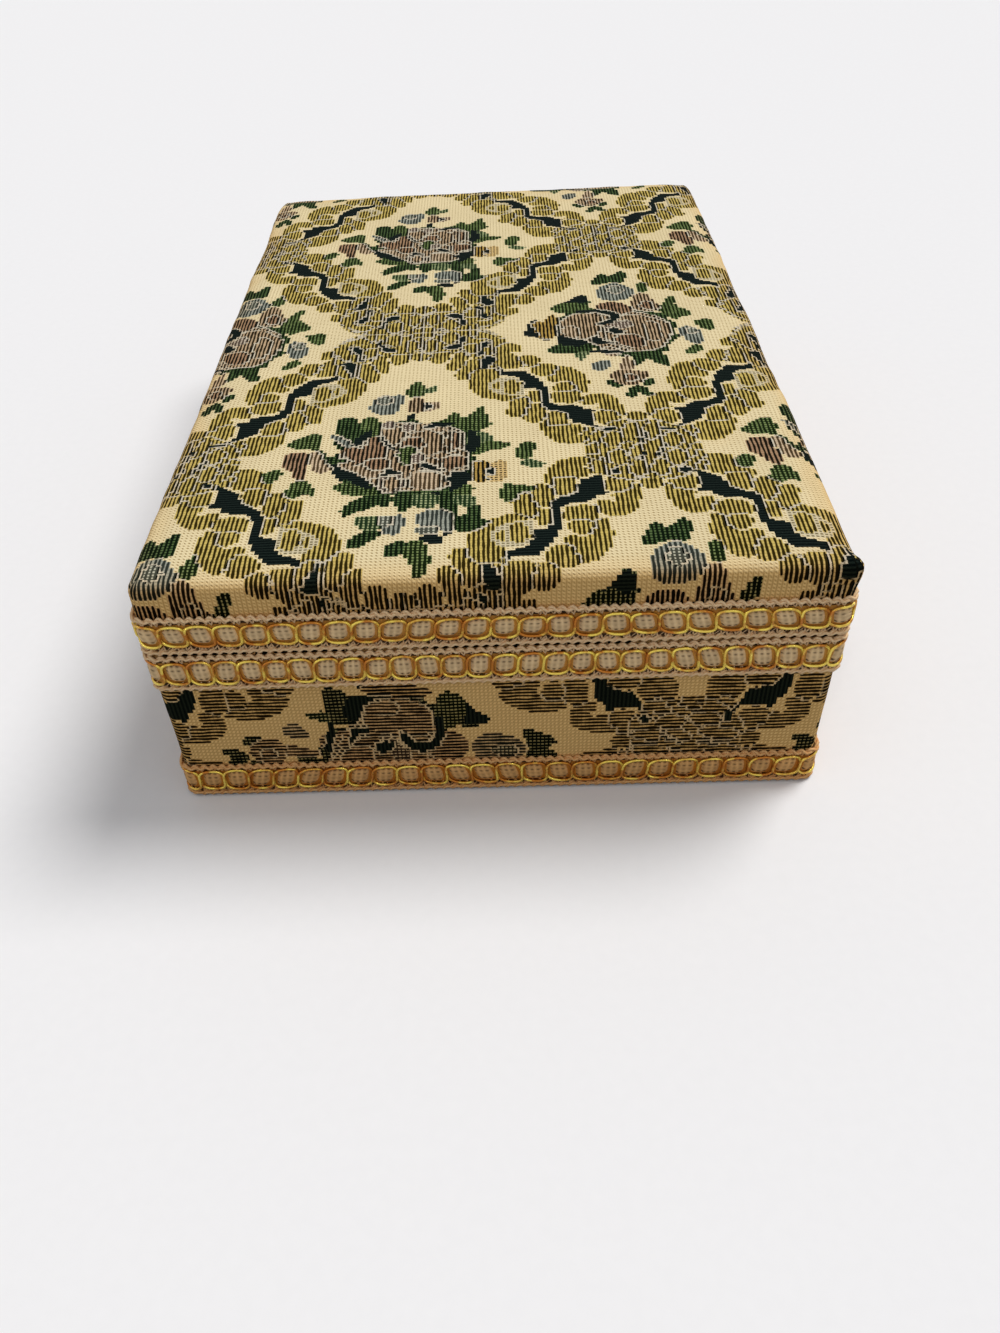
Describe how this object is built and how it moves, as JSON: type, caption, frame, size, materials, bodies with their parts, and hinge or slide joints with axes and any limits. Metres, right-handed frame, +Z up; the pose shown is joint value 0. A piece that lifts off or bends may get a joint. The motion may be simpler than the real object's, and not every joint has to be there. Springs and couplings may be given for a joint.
{
  "type": "keepsake box",
  "caption": "Rectangular cloth-covered keepsake box with a lid hinged along the back by a strip of cloth, braid along its rims and foot, and a padded satin lining.",
  "frame": {"origin": "centre of the underside, on the surface that the box stands on", "axes": "+Z up, -Y towards the front, +Y towards the hinge, +X to the right as seen from the front"},
  "size_m": [0.1828, 0.2828, 0.077],
  "materials": {
    "brocade": "woven tapestry brocade, cream ground with a gold scroll trellis and rose sprays",
    "braid": "cotton gimp braid with a chain of gold metallic cord",
    "greyboard": "plain greyboard",
    "wadding": "thin polyester wadding",
    "satin": "old gold satin",
    "foot_paper": "matt brown lining paper"
  },
  "bodies": {
    "base": {"base_floor_board": "greyboard", "base_front_board": "greyboard", "base_back_board": "greyboard", "base_left_board": "greyboard", "base_right_board": "greyboard", "base_cover": "brocade", "base_foot_sheet": "foot_paper", "base_rim_braid": "braid", "base_foot_braid": "braid", "base_front_lining": "satin", "base_back_lining": "satin", "base_left_lining": "satin", "base_right_lining": "satin", "base_floor_pad": "satin", "hinge_cloth_base_leaf": "brocade", "inner_hinge_cloth_base_leaf": "satin"},
    "lid": {"lid_top_board": "greyboard", "lid_front_board": "greyboard", "lid_back_board": "greyboard", "lid_left_board": "greyboard", "lid_right_board": "greyboard", "lid_wadding": "wadding", "lid_cover": "brocade", "lid_rim_braid": "braid", "lid_front_lining": "satin", "lid_back_lining": "satin", "lid_left_lining": "satin", "lid_right_lining": "satin", "lid_ceiling_pad": "satin", "hinge_cloth_lid_leaf": "brocade", "inner_hinge_cloth_lid_leaf": "satin"}
  },
  "joints": [
    {"name": "lid_hinge", "type": "hinge", "parent": "base", "child": "lid", "pos_m": [0, 0.1406, 0.05465], "axis": [-1, 0, 0], "range_deg": [0, 100]}
  ]
}
